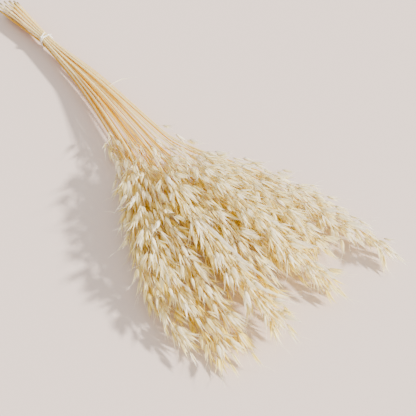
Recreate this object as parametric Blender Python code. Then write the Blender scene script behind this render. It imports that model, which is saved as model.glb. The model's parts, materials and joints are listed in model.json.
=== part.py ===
"""A bundle of dried oats lying on its side: culms gathered by a cotton tie near their cut ends, and their
heads fanned out in a low heap. Metres, +Z up. +X runs from the cut ends to the tips of the heads, and the
origin is on the surface that the bundle lies on, under the middle of its box. Left is the -Y side, as in a view
from the tips of the heads."""

import math
import random
from collections import namedtuple

import bmesh
import bpy
import numpy as np
from mathutils import Matrix, Vector

# Driving dimensions, in metres; a pair is the least and the most of a draw
CULMS = 24
TIE_PLACE = Vector((-0.2493, 0.0288, 0.0150))
PITCH = 0.0030  # from culm to culm inside the tie
CULM_RADIUS = 0.0013
NECK_RADIUS = 0.0010  # where the culm becomes the axis of its head
TIP_RADIUS = 0.0007
CUT_LENGTH = (0.098, 0.116)  # from the tie back to the cut ends
REACH = (0.515, 0.592)  # from the tie out to the tips of the heads
HEAD_LENGTH = (0.240, 0.300)
RIGHT_SHORTER = 0.055  # how much shorter the heads are on the fan's right
LEFT_SHORTER = 0.040  # how much nearer the tips end on the fan's left
GAP = 0.0003  # between neighbouring solids

# The fan: how the bundle's cross-section grows from the round waist in the tie to a low heap of heads
PINCH = 0.012  # how far from the tie the culms still bend
CULM_SLOPE = 0.098  # how fast the outer culms run apart towards the heads
CUT_SLOPE = 0.075
NOD_FROM = 0.290  # the heavy heads fall outwards from here on
NOD_TO = 0.515
NOD_SOFTNESS = 0.020
NOD = 0.070
SWEEP_FROM = 0.080  # and the whole fan bends a little to its left
SWEEP_TO = 0.400
SWEEP = -0.027
SIDES_FROM = 0.120  # where the round waist has become a heap with low sides
HEAP_FOOT = 0.0085
HEAP_TOP = 0.065
HEAP_PEAK = 0.42
TIPS_TOP = 0.034
SHOULDER = 0.66  # how far the heap has fallen at its sides
CUT_FOOT = 0.75 * CULM_RADIUS  # low enough for the lowest culm to lie on a flat strip at its cut end
CUT_RISE = 0.003
STRAY = 0.28  # how far a culm strays, as a share of the spare room to its neighbours

# The spikelets and the stalks that carry them
WHORLS = 6
STALKS_IN_A_WHORL = 3
BARE_TIP = 0.07  # the share of a head's axis that carries only the end spikelet
ROOT_RADIUS = 0.00030
STALK_RADIUS = 0.00043
STALK_LENGTH = (0.010, 0.027)  # at the tip of a head and at its foot
STALK_LENGTH_DRAW = (0.5, 1.1)
STALK_SPREAD = (0.40, 1.05)  # outwards, for each length forwards
SPREAD_AT_TIP = 0.60
SPIKELET_SPREAD = (-0.05, 0.50)
SPIKELET_NOD = (0.05, 0.40)
SPIKELET_LENGTH = (0.0185, 0.0235)
BELLY = 0.40  # where a spikelet is widest, as a share of its length
HALF_WIDTH = 0.0022
HALF_DEPTH = 0.0015
GAPE = (0.0014, 0.0036)  # from the middle of an open spikelet to the tips of its glumes
END_GAPE = (0.0012, 0.0022)
END_STALK = 0.005
SUNK = 0.006  # how deep the head's axis is sunk into its culm
AXIS_TWIST = 12.0  # radians for each metre
CLEARANCE = 0.0006
NECK_GUARD = 0.0019  # the radii that keep neighbours clear of a spikelet's belly and of its glumes
GLUME_GUARD = 0.0013
LOW_NECK = 0.0010  # what would lie lower than these heights is raised to them
LOW_TIP = -0.0004
LOW_BELLY = 0.0040  # a spikelet under this height lies flat
TRIES = 50

# The tie
CORD_RADIUS = 0.00075
CORD_SIDES = 6
TURN_SLANT = 0.0022
TURN_STEPS = 28
KNOT_SIDE = math.radians(105)  # round the bundle, from the fan's right over the top
KNOT_RADIUS = 0.0019
TAILS = (
    ((0, 0, 0), (0.0015, 0.0045, 0.0016), (0.0030, 0.0095, 0.0020), (0.0042, 0.0142, 0.0008)),
    ((0, 0, 0), (-0.0022, 0.0028, 0.0014), (-0.0046, 0.0060, 0.0017), (-0.0062, 0.0094, 0.0006)),
)

SEED = 69
DOWN = Vector((0, 0, -1))

Sprig = namedtuple("Sprig", "root neck belly across depth tips")


def smooth(share):
    """0 below 0, 1 above 1, and a soft step between."""
    share = min(max(share, 0.0), 1.0)
    return share * share * (3 - 2 * share)


def mix(low, high, share):
    return low + (high - low) * share


def places_in_the_tie():
    """The culms' places across the tie: the points of a triangular lattice that lie nearest to its middle."""
    found = []
    for row in range(-4, 5):
        for column in range(-4, 5):
            across = PITCH * (column + row / 2 + 0.25)
            up = PITCH * row * math.sqrt(3) / 2 + 0.0004
            found.append((math.hypot(across, up), across, up))
    return [(across, up) for _, across, up in sorted(found)[:CULMS]]


PLACES = places_in_the_tie()
WAIST = max(abs(across) for across, _ in PLACES)
LOWEST = min(up for _, up in PLACES)
HIGHEST = max(up for _, up in PLACES)


def half_width(distance):
    """From the middle of the bundle to its outermost culm, at this distance from the tie."""
    slope = CULM_SLOPE if distance > 0 else CUT_SLOPE
    straight = WAIST + slope * (math.hypot(distance, PINCH) - PINCH)
    past = distance - NOD_FROM
    softened = (past + math.hypot(past, NOD_SOFTNESS)) / 2
    return straight + NOD * math.sin(math.pi / 2 * min(softened / (NOD_TO - NOD_FROM), 1))


def heap(distance, aside):
    """The lowest and highest culm's height at this distance from the tie, this share of the way to the side."""
    low, high = TIE_PLACE.z + LOWEST, TIE_PLACE.z + HIGHEST
    if distance < 0:
        cut = smooth(-distance / CUT_LENGTH[0])
        return mix(low, CUT_FOOT, cut), mix(high, high + CUT_RISE, cut)
    rise = smooth(distance / HEAP_PEAK)
    fall = smooth((distance - HEAP_PEAK) / (REACH[1] - HEAP_PEAK))
    spreading = smooth(distance / SIDES_FROM)
    top = mix(mix(high, HEAP_TOP, rise), TIPS_TOP, fall)
    foot = mix(low, HEAP_FOOT, spreading)
    shoulder = 1 - SHOULDER * spreading * aside * aside
    return foot, max(foot + high - low, foot + (top - foot) * shoulder)


class Culm:
    """One oat plant: its place in the tie, and the line that its culm and the axis of its head follow."""

    def __init__(self, place, draw):
        self.across, self.up = place
        self.aside = self.across / WAIST
        self.cut = draw.uniform(*CUT_LENGTH)
        self.reach = draw.uniform(*REACH) - LEFT_SHORTER * max(-self.aside, 0) ** 2
        self.head = draw.uniform(*HEAD_LENGTH) - RIGHT_SHORTER * max(self.aside, 0)
        self.neck = self.reach - self.head
        self.lean = draw.uniform(-1, 1), draw.uniform(-1, 1)
        self.sway = draw.uniform(0, math.tau)
        self.points = [self.point(distance) for distance in self.stations()]

    def point(self, distance):
        """The middle of the culm at this distance from the tie, negative towards the cut end."""
        wide = half_width(distance) / WAIST
        foot, top = heap(distance, self.aside)
        height = (self.up - LOWEST) / (HIGHEST - LOWEST)
        room_across = STRAY * PITCH * (wide - 1)
        room_up = STRAY * PITCH * max((top - foot) / (HIGHEST - LOWEST) - 1, 0)
        wander = math.sin(self.sway + distance * 14)
        sweep = SWEEP * smooth((distance - SWEEP_FROM) / (SWEEP_TO - SWEEP_FROM))
        aside = self.across * wide + sweep + room_across * (0.8 * self.lean[0] + 0.2 * wander)
        height = mix(foot, top, height) + room_up * self.lean[1] * math.sin(math.pi * height)
        return Vector((TIE_PLACE.x + distance, TIE_PLACE.y + aside, height))

    def stations(self):
        """Distances from the tie: few where the culm is straight, more in the tie and in the head."""
        culm = [-self.cut, -0.025, 0.0, 0.025, 0.10, 0.18]
        return culm + [self.neck + self.head * share for share in (0, 0.2, 0.4, 0.6, 0.8, 1.0)]

    def radius(self, distance):
        if distance < self.neck:
            return mix(CULM_RADIUS, NECK_RADIUS, smooth((distance - 0.05) / (self.neck - 0.05)))
        return mix(NECK_RADIUS, TIP_RADIUS, (distance - self.neck) / self.head)

    def on_line(self, distance):
        """The point on the straight stretches between the stations, which is what the solid follows."""
        marks = self.stations()
        following = next((i for i, mark in enumerate(marks) if mark >= distance), len(marks) - 1)
        start, end = marks[following - 1], marks[following]
        return self.points[following - 1].lerp(self.points[following], (distance - start) / (end - start))

    def heading(self, distance):
        return (self.on_line(distance + 0.004) - self.on_line(distance - 0.004)).normalized()

    def segments(self):
        radii = [self.radius(mark) for mark in self.stations()]
        return list(zip(self.points, self.points[1:], radii))

    def axis_turn(self, distance):
        """How far the three-sided axis of the head has turned about itself at this distance from the tie."""
        return self.sway + AXIS_TWIST * distance

    def face_angle(self, distance, side):
        """The direction of one of the axis's three faces, which a stalk leaves by."""
        return self.axis_turn(distance) + math.pi / 3 + math.tau * side / 3


def cross_frame(direction):
    """Two unit vectors square to a direction: one level, one as upright as can be."""
    level = direction.cross(Vector((0, 0, 1)))
    if level.length < 0.05:
        level = Vector((0, 1, 0))
    level.normalize()
    return level, level.cross(direction).normalized()


def around(frame, angle):
    return math.cos(angle) * frame[0] + math.sin(angle) * frame[1]


class Crowd:
    """Every culm, stalk and spikelet laid so far, as short thick segments, to keep the next one clear."""

    LONGEST = 0.025

    def __init__(self):
        self.starts = np.empty((0, 3))
        self.ends = np.empty((0, 3))
        self.radii = np.empty(0)
        self.owners = np.empty(0)

    def add(self, start, end, radius, owner):
        pieces = math.ceil((end - start).length / self.LONGEST)
        cuts = np.array([start.lerp(end, i / pieces) for i in range(pieces + 1)])
        self.starts = np.vstack((self.starts, cuts[:-1]))
        self.ends = np.vstack((self.ends, cuts[1:]))
        self.radii = np.append(self.radii, [radius] * pieces)
        self.owners = np.append(self.owners, [owner] * pieces)

    def room(self, segments, skip=None):
        """The smallest gap between these thick segments and those in the crowd that skip doesn't own."""
        starts = np.array([segment[0] for segment in segments])
        ends = np.array([segment[1] for segment in segments])
        radii = np.array([segment[2] for segment in segments])
        middles = (self.starts + self.ends) / 2
        low = np.minimum(starts, ends).min(axis=0) - self.LONGEST
        high = np.maximum(starts, ends).max(axis=0) + self.LONGEST
        near = (middles > low).all(axis=1) & (middles < high).all(axis=1) & (self.owners != skip)
        gaps = segment_gaps(starts[:, None], ends[:, None], self.starts[near], self.ends[near])
        return (gaps - radii[:, None] - self.radii[near]).min(initial=1.0)


def dot(a, b):
    return (a * b).sum(axis=-1)


def segment_gaps(starts, ends, other_starts, other_ends):
    """The distances between the middle lines of two sets of segments, each with each of the other set."""
    along, other, apart = ends - starts, other_ends - other_starts, starts - other_starts
    a, e, b = dot(along, along), dot(other, other), dot(along, other)
    c, f = dot(along, apart), dot(other, apart)
    s = np.clip((b * f - c * e) / np.maximum(a * e - b * b, 1e-18), 0, 1)
    t = (b * s + f) / e
    inside = np.clip(t, 0, 1)
    s = np.where(t == inside, s, np.clip((b * inside - c) / a, 0, 1))
    nearest = apart + s[..., None] * along - inside[..., None] * other
    return np.sqrt(dot(nearest, nearest))


def raised(point, height):
    """The point, lifted to this height where it would lie lower."""
    return Vector((point.x, point.y, max(point.z, height)))


def draw_sprig(culm, distance, angle, draw):
    """A stalk with a spikelet of two open glumes, leaving the head's axis at this distance and side."""
    root = culm.on_line(distance)
    share = (distance - culm.neck) / culm.head
    forward = culm.heading(distance)
    outward = mix(1.0, SPREAD_AT_TIP, share) * around(cross_frame(forward), angle)
    length = mix(STALK_LENGTH[1], STALK_LENGTH[0], share) * draw.uniform(*STALK_LENGTH_DRAW)
    neck = raised(root + length * (forward + draw.uniform(*STALK_SPREAD) * outward).normalized(), LOW_NECK)
    nod = draw.uniform(*SPIKELET_NOD)
    aim = (forward + draw.uniform(*SPIKELET_SPREAD) * outward + nod * DOWN).normalized()
    size = draw.uniform(*SPIKELET_LENGTH)
    end = raised(neck + size * aim, LOW_TIP)
    aim = (end - neck).normalized()
    belly = neck + BELLY * size * aim
    roll = draw.uniform(0, math.pi) if belly.z > LOW_BELLY else draw.uniform(-0.15, 0.15)
    across = around(cross_frame(aim), roll)
    gape = draw.uniform(*GAPE)
    tips = raised(end + gape * across, LOW_TIP), raised(end - gape * across, LOW_TIP)
    return Sprig(root, neck, belly, across, across.cross(aim).normalized(), tips)


def end_sprig(culm, draw):
    """The spikelet that ends the head's own axis."""
    forward = culm.heading(culm.reach - 0.004)
    root = culm.on_line(culm.reach - 0.002)
    neck = raised(root + END_STALK * forward, LOW_NECK)
    end = raised(neck + SPIKELET_LENGTH[1] * (forward + 0.1 * DOWN).normalized(), LOW_TIP)
    across, depth = cross_frame((end - neck).normalized())
    gape = draw.uniform(*END_GAPE)
    return Sprig(root, neck, neck.lerp(end, BELLY), across, depth, (end + gape * across, end - gape * across))


def body_of(sprig):
    """The spikelet as thick segments: neck to belly, and belly to both glume tips."""
    glumes = [(sprig.belly, tip, GLUME_GUARD) for tip in sprig.tips]
    return [(sprig.neck, sprig.belly, NECK_GUARD)] + glumes


def stalk_of(sprig):
    return (sprig.root, sprig.neck, STALK_RADIUS)


def lay(sprig, owner, crowd):
    """Adds a sprig to the crowd, with its stalk owned by its culm and its spikelet not."""
    crowd.add(*stalk_of(sprig), owner)
    for segment in body_of(sprig):
        crowd.add(*segment, owner + 0.5)


def grow_culms(crowd, draw):
    """A culm for each place in the tie, drawn again until it runs clear of those before it."""
    culms = []
    for owner, place in enumerate(PLACES):
        for _ in range(TRIES):
            culm = Culm(place, draw)
            if crowd.room(culm.segments()) >= GAP:
                break
        for segment in culm.segments():
            crowd.add(*segment, owner)
        culms.append(culm)
    return culms


def grow_heads(culms, crowd, draw):
    """The sprigs of every head, drawn whorl by whorl and head by head, each one laid where it has room."""
    heads = [[end_sprig(culm, draw)] for culm in culms]
    for owner, (first,) in enumerate(heads):
        lay(first, owner, crowd)
    for whorl in range(WHORLS):
        for owner, culm in enumerate(culms):
            for stalk in range(STALKS_IN_A_WHORL):
                for _ in range(TRIES):
                    share = (whorl + 0.3 * stalk + draw.uniform(0, 0.35)) / WHORLS * (1 - BARE_TIP)
                    distance = culm.neck + culm.head * share
                    angle = culm.face_angle(distance, stalk) + draw.uniform(-0.6, 0.6)
                    sprig = draw_sprig(culm, distance, angle, draw)
                    if crowd.room(body_of(sprig)) < CLEARANCE:
                        continue
                    if crowd.room([stalk_of(sprig)], skip=owner) < CLEARANCE:
                        continue
                    lay(sprig, owner, crowd)
                    heads[owner].append(sprig)
                    break
    return heads


def finished(name, mesh, collection):
    """The mesh as an object of the collection, in triangles whose faces point out."""
    bmesh.ops.triangulate(mesh, faces=mesh.faces)
    bmesh.ops.recalc_face_normals(mesh, faces=mesh.faces)
    data = bpy.data.meshes.new(name)
    mesh.to_mesh(data)
    mesh.free()
    obj = bpy.data.objects.new(name, data)
    collection.objects.link(obj)
    return obj


def band(mesh, row, following):
    """The faces between two rings of equally many points."""
    for side in range(len(row)):
        after = (side + 1) % len(row)
        mesh.faces.new((row[side], row[after], following[after], following[side]))


def skin(name, rings, collection, finish=None):
    """A closed object through rings of points, ended by a face or by what finish adds."""
    mesh = bmesh.new()
    rows = [[mesh.verts.new(point) for point in points] for points in rings]
    for row, following in zip(rows, rows[1:]):
        band(mesh, row, following)
    mesh.faces.new(rows[0])
    if finish:
        finish(mesh, rows[-1])
    else:
        mesh.faces.new(rows[-1])
    return finished(name, mesh, collection)


def tube_rings(points, radii, turns, sides):
    """Rings round a line of points, each square to the line there."""
    rings = []
    for i, (point, radius, turn) in enumerate(zip(points, radii, turns)):
        direction = points[min(i + 1, len(points) - 1)] - points[max(i - 1, 0)]
        frame = cross_frame(direction.normalized())
        rings.append([point + radius * around(frame, turn + math.tau * k / sides) for k in range(sides)])
    return rings


def add_spikelet(mesh, neck, sprig):
    """A belly of four points on a neck of three, and two pointed glumes that stand apart."""
    corners = (
        sprig.belly + HALF_WIDTH * sprig.across,
        sprig.belly + HALF_DEPTH * sprig.depth,
        sprig.belly - HALF_WIDTH * sprig.across,
        sprig.belly - HALF_DEPTH * sprig.depth,
    )
    right, top, left, under = [mesh.verts.new(corner) for corner in corners]
    right_tip, left_tip = [mesh.verts.new(tip) for tip in sprig.tips]
    a, b, c = neck
    upper = (a, right, top), (a, top, b), (b, top, left), (b, left, c)
    lower = (c, left, under), (c, under, a), (a, under, right)
    right_glume = (right, top, right_tip), (top, under, right_tip), (under, right, right_tip)
    left_glume = (left, under, left_tip), (under, top, left_tip), (top, left, left_tip)
    for face in upper + lower + right_glume + left_glume:
        mesh.faces.new(face)


def sprig_object(sprig, workshop):
    """A three-sided stalk that opens into its spikelet."""
    heading = (sprig.neck - sprig.root).normalized()
    across = (sprig.across - sprig.across.dot(heading) * heading).normalized()
    frame = across, across.cross(heading)
    rings = []
    for point, radius in ((sprig.root, ROOT_RADIUS), (sprig.neck, STALK_RADIUS)):
        rings.append([point + radius * around(frame, math.tau * k / 3) for k in range(3)])
    skin("sprig", rings, workshop, lambda mesh, neck: add_spikelet(mesh, neck, sprig))


def join(obj, collection):
    """One Boolean union of the object with a collection, applied, and the collection's objects removed."""
    boolean = obj.modifiers.new("join", "BOOLEAN")
    boolean.operand_type = "COLLECTION"
    boolean.collection = collection
    boolean.operation = "UNION"
    boolean.solver = "EXACT"
    with bpy.context.temp_override(object=obj, active_object=obj):
        bpy.ops.object.modifier_apply(modifier=boolean.name)
    for other in list(collection.objects):
        bpy.data.objects.remove(other)


def press_flat(obj):
    """What dips under the surface is cut off level with it, as a small flat spot to rest on."""
    mesh = bmesh.new()
    mesh.from_mesh(obj.data)
    if min(vertex.co.z for vertex in mesh.verts) < 0:
        everything = mesh.verts[:] + mesh.edges[:] + mesh.faces[:]
        cut = bmesh.ops.bisect_plane(
            mesh, geom=everything, plane_co=(0, 0, 0), plane_no=DOWN, clear_outer=True
        )
        edges = [part for part in cut["geom_cut"] if isinstance(part, bmesh.types.BMEdge)]
        bmesh.ops.holes_fill(mesh, edges=edges, sides=0)
        bmesh.ops.recalc_face_normals(mesh, faces=mesh.faces)
        mesh.to_mesh(obj.data)
    mesh.free()


def material(name, colour, roughness):
    made = bpy.data.materials.new(name)
    made.use_nodes = True
    shader = made.node_tree.nodes["Principled BSDF"]
    shader.inputs["Base Color"].default_value = (*colour, 1)
    shader.inputs["Roughness"].default_value = roughness
    shader.inputs["Metallic"].default_value = 0
    return made


def wear(obj, finish):
    obj.data.materials.clear()
    obj.data.materials.append(finish)


def make_oat(name, culm, head, straw, workshop):
    """One plant as one body: its culm, the axis of its head sunk into it, and stalks sunk into the axis."""
    marks = culm.stations()
    radii = [culm.radius(mark) for mark in marks]
    neck = marks.index(culm.neck)
    stem = tube_rings(culm.points[: neck + 1], radii[: neck + 1], [math.pi / 2] * (neck + 1), 5)
    obj = skin(name, stem, bpy.context.scene.collection)
    sunk = culm.neck - SUNK
    turns = [culm.axis_turn(mark) for mark in [sunk] + marks[neck:]]
    axis = tube_rings([culm.on_line(sunk)] + culm.points[neck:], [NECK_RADIUS] + radii[neck:], turns, 3)
    skin("axis", axis, workshop)
    for sprig in head:
        sprig_object(sprig, workshop)
    join(obj, workshop)
    press_flat(obj)
    wear(obj, straw)


def beside_culms(culms, angle, offset):
    """The point this far outside the outermost culm on one side of the tie."""
    out = Vector((0, math.cos(angle), math.sin(angle)))
    outermost = max((culm.on_line(0) for culm in culms), key=lambda place: place.dot(out))
    return outermost + (CULM_RADIUS + GAP + offset) * out


def turn_route(culms, slant):
    """One turn of the cord, drawn tight round the outer culms, its plane leaning by the slant."""
    points = []
    for step in range(TURN_STEPS):
        angle = math.tau * step / TURN_STEPS
        lean = slant * math.sin(angle - KNOT_SIDE)
        points.append(beside_culms(culms, angle, CORD_RADIUS) + Vector((lean, 0, 0)))
    return points


def cord_loop(name, points, collection):
    """A closed ring of cord through the points."""
    mesh = bmesh.new()
    rows = []
    for i, point in enumerate(points):
        direction = (points[(i + 1) % len(points)] - points[i - 1]).normalized()
        side = (Vector((1, 0, 0)) - direction.x * direction).normalized()
        frame = side, side.cross(direction)
        angles = [math.tau * k / CORD_SIDES for k in range(CORD_SIDES)]
        rows.append([mesh.verts.new(point + CORD_RADIUS * around(frame, angle)) for angle in angles])
    for row, following in zip(rows, rows[1:] + rows[:1]):
        band(mesh, row, following)
    return finished(name, mesh, collection)


def make_tie(culms, cotton, workshop):
    """Two turns of cord that cross each other, the knot on their crossing and the cord's two ends."""
    obj = cord_loop("tie", turn_route(culms, TURN_SLANT), bpy.context.scene.collection)
    cord_loop("turn", turn_route(culms, -TURN_SLANT), workshop)
    knot_place = beside_culms(culms, KNOT_SIDE, KNOT_RADIUS)
    knot = bmesh.new()
    place = Matrix.Translation(knot_place)
    bmesh.ops.create_icosphere(knot, subdivisions=2, radius=KNOT_RADIUS, matrix=place)
    finished("knot", knot, workshop)
    for tail in TAILS:
        points = [knot_place + Vector(offset) for offset in tail]
        rings = tube_rings(points, [CORD_RADIUS] * len(points), [0.0] * len(points), CORD_SIDES)
        skin("tail", rings, workshop)
    join(obj, workshop)
    wear(obj, cotton)


def main():
    for old in list(bpy.data.objects):
        bpy.data.objects.remove(old)
    draw = random.Random(SEED)
    crowd = Crowd()
    culms = grow_culms(crowd, draw)
    heads = grow_heads(culms, crowd, draw)
    workshop = bpy.data.collections.new("workshop")
    bpy.context.scene.collection.children.link(workshop)
    straw = material("bleached_straw", (0.90, 0.80, 0.58), 0.55)
    cotton = material("white_cotton", (0.88, 0.88, 0.86), 0.8)
    for number, (culm, head) in enumerate(zip(culms, heads), 1):
        make_oat(f"oat_{number:02d}", culm, head, straw, workshop)
    make_tie(culms, cotton, workshop)
    bpy.data.collections.remove(workshop)


main()
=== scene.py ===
# %% [markdown]
# # A bundle of dried oats
# Two dozen stems of bleached oats lie on a table. Two turns of cotton twine gather them near their cut
# ends, and their heads fan out in a low heap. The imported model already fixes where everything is: each stem
# with its head is one plain solid, and the tie is another. This lesson puts a finer piece in the place of
# each, built the way the plant is: culm, stalks, glumes, florets and awns.

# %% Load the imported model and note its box
import json
import math
import random
from collections import namedtuple

import bmesh
import bpy
import numpy as np
from bmesh.types import BMEdge, BMVert
from mathutils import Matrix, Vector

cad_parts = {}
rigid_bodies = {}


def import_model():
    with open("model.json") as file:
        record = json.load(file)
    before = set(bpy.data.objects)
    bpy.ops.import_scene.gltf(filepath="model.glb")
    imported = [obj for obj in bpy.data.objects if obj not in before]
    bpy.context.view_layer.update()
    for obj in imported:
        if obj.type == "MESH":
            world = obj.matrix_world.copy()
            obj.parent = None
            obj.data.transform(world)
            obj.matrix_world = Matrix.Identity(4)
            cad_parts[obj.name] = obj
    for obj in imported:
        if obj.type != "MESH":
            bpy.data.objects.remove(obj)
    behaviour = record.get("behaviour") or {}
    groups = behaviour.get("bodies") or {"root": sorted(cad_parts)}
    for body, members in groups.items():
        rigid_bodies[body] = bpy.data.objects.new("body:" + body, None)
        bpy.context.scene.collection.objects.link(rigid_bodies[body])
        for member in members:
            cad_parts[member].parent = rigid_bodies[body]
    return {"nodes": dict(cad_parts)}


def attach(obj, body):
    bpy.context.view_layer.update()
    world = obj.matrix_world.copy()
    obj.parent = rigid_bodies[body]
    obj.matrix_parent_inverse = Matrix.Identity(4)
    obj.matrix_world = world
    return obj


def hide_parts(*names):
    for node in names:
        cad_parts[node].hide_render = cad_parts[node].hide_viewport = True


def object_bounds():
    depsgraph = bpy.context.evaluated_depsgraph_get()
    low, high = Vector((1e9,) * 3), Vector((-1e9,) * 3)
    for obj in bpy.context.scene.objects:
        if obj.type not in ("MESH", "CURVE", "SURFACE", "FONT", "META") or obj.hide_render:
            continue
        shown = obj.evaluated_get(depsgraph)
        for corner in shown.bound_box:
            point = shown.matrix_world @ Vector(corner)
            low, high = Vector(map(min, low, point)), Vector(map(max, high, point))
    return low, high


for startup in list(bpy.data.objects):
    bpy.data.objects.remove(startup)
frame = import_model()
cad_low, cad_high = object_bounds()
print("packed nodes:", len(frame["nodes"]), "box in mm:", [round(1000 * side) for side in cad_high - cad_low])

# %% [markdown]
# ## The camera
# The bundle is seen from above, from beyond the tips of its heads and from its left, so that the heads come
# towards the viewer and the tie is small in the far corner. The lens is a little longer than normal. A
# constraint could aim the camera, but a direction worked out from two angles needs no helper object.

# %% The camera
LENS_MM = 65
LOOK_AT = Vector((0.1517, 0.0068, 0.0200))
DISTANCE = 0.92
AZIMUTH = math.radians(50)
ELEVATION = math.radians(52)

flat = math.cos(ELEVATION)
back = Vector((math.sin(AZIMUTH) * flat, -math.cos(AZIMUTH) * flat, math.sin(ELEVATION)))
camera = bpy.data.objects.new("camera", bpy.data.cameras.new("camera"))
camera.data.lens = LENS_MM
camera.location = LOOK_AT + DISTANCE * back
camera.rotation_euler = (-back).to_track_quat("-Z", "Y").to_euler()
bpy.context.scene.collection.objects.link(camera)
bpy.context.scene.camera = camera
print("camera at", [round(value, 3) for value in camera.location])

# %% [markdown]
# ## Light, floor and background
# The oats lie in bright, even daylight with one low, soft window on the right. A wide sky does most of the
# work, as white walls would, and a sun with a soft edge is the window. Area lamps could do it too, but a
# sun lights the near and the far end of a long bundle alike.

# %% Light, floor and background
SUN_FROM = Vector((0.63, 0.60, 0.50))
SUN_STRENGTH = 4.2
SUN_COLOUR = (1.0, 0.97, 0.93)
SUN_SOFTNESS = math.radians(4)
SKY_STRENGTH = 0.66
SKY_COLOUR = (1.0, 0.985, 0.975, 1)
FLOOR_HALF = 4.0
FLOOR_DROP = 0.0001
FLOOR_COLOUR = (0.650, 0.548, 0.496, 1)
FLOOR_ROUGHNESS = 0.6
EXPOSURE = 0.70
BOUNCES = 32

sun = bpy.data.objects.new("window", bpy.data.lights.new("window", "SUN"))
sun.data.energy = SUN_STRENGTH
sun.data.angle = SUN_SOFTNESS
sun.data.color = SUN_COLOUR
sun.rotation_euler = SUN_FROM.to_track_quat("Z", "Y").to_euler()
bpy.context.scene.collection.objects.link(sun)

world = bpy.data.worlds.new("daylight")
world.use_nodes = True
background = world.node_tree.nodes["Background"].inputs
background["Color"].default_value = SKY_COLOUR
background["Strength"].default_value = SKY_STRENGTH
bpy.context.scene.world = world
view = bpy.context.scene.view_settings
view.view_transform = "AgX"
view.look = "AgX - Medium High Contrast"
view.exposure = EXPOSURE
cycles = bpy.context.scene.cycles
cycles.max_bounces = cycles.diffuse_bounces = cycles.transmission_bounces = BOUNCES


def as_mesh(name, shape):
    """The bmesh as mesh data of this name."""
    data = bpy.data.meshes.new(name)
    shape.to_mesh(data)
    shape.free()
    return data


def finished(data, materials):
    """The mesh as an object of its name, smooth, with these materials in its slots."""
    data.shade_smooth()
    for material in materials:
        data.materials.append(material)
    piece = bpy.data.objects.new(data.name, data)
    bpy.context.scene.collection.objects.link(piece)
    return piece


def painted(name, colour, roughness):
    """A material with one Principled shader, and that shader for more wiring."""
    material = bpy.data.materials.new(name)
    material.use_nodes = True
    shader = material.node_tree.nodes["Principled BSDF"]
    shader.inputs["Base Color"].default_value = colour
    shader.inputs["Roughness"].default_value = roughness
    return material, shader


ground = bmesh.new()
bmesh.ops.create_grid(ground, x_segments=1, y_segments=1, size=FLOOR_HALF)
bmesh.ops.translate(ground, vec=(0, 0, -FLOOR_DROP), verts=ground.verts)
table = painted("pale_table", FLOOR_COLOUR, FLOOR_ROUGHNESS)[0]
floor = finished(as_mesh("floor", ground), [table])

# %% [markdown]
# ## Where every stem runs
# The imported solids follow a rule: the culms sit on a triangular lattice inside the tie, and from there the
# bundle's cross-section opens into a low heap that leans a little to its left, the side of -Y, as seen from
# the tips. The same rule and the same seeded draws give the line of every culm here, and the finer piece
# follows it.

# %% The driving sizes, in metres
CULMS = 24
TIE_PLACE = Vector((-0.2493, 0.0288, 0.0150))
PITCH = 0.0030
LATTICE_REACH = 4
LATTICE_SHIFT = 0.25
LATTICE_RISE = 0.0004
CULM_RADIUS = 0.0013
NECK_RADIUS = 0.0010
TIP_RADIUS = 0.0007
TAPER_FROM = 0.05
CUT_LENGTH = (0.098, 0.116)
REACH = (0.515, 0.592)
HEAD_LENGTH = (0.240, 0.300)
RIGHT_SHORTER = 0.055
LEFT_SHORTER = 0.040
GAP = 0.0003
PINCH = 0.012
CULM_SLOPE = 0.098
CUT_SLOPE = 0.075
NOD_FROM = 0.290
NOD_TO = 0.515
NOD_SOFTNESS = 0.020
NOD = 0.070
SWEEP_FROM = 0.080
SWEEP_TO = 0.400
SWEEP = -0.027
SIDES_FROM = 0.120
HEAP_FOOT = 0.0085
HEAP_TOP = 0.065
HEAP_PEAK = 0.42
TIPS_TOP = 0.034
SHOULDER = 0.66
CUT_FOOT = 0.75 * CULM_RADIUS
CUT_RISE = 0.003
STRAY = 0.28
WANDER_SHARE = 0.2
WANDER_WAVES = 14
CULM_TURNS = (-0.025, 0.0, 0.025, 0.10, 0.18)
HEAD_TURNS = (0, 0.2, 0.4, 0.6, 0.8, 1.0)
HEADING_STEP = 0.004
SEED = 69
INSIDE_BELOW, OUTSIDE_FROM = 0.25, 0.75
DOWN = Vector((0, 0, -1))


# %% The lattice in the tie, and the shape of the heap
def smooth(share):
    share = min(max(share, 0.0), 1.0)
    return share * share * (3 - 2 * share)


def mix(low, high, share):
    return low + (high - low) * share


def places_in_the_tie():
    """The points of a triangular lattice that lie nearest to the middle of the tie."""
    found = []
    for row in range(-LATTICE_REACH, LATTICE_REACH + 1):
        for column in range(-LATTICE_REACH, LATTICE_REACH + 1):
            across = PITCH * (column + row / 2 + LATTICE_SHIFT)
            up = PITCH * row * math.sqrt(3) / 2 + LATTICE_RISE
            found.append((math.hypot(across, up), across, up))
    return [(across, up) for _, across, up in sorted(found)[:CULMS]]


PLACES = places_in_the_tie()
WAIST = max(abs(across) for across, _ in PLACES)
LOWEST = min(up for _, up in PLACES)
HIGHEST = max(up for _, up in PLACES)


def half_width(distance):
    """From the middle of the bundle to its outermost culm, at this distance from the tie."""
    slope = CULM_SLOPE if distance > 0 else CUT_SLOPE
    straight = WAIST + slope * (math.hypot(distance, PINCH) - PINCH)
    past = distance - NOD_FROM
    softened = (past + math.hypot(past, NOD_SOFTNESS)) / 2
    return straight + NOD * math.sin(math.pi / 2 * min(softened / (NOD_TO - NOD_FROM), 1))


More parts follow.
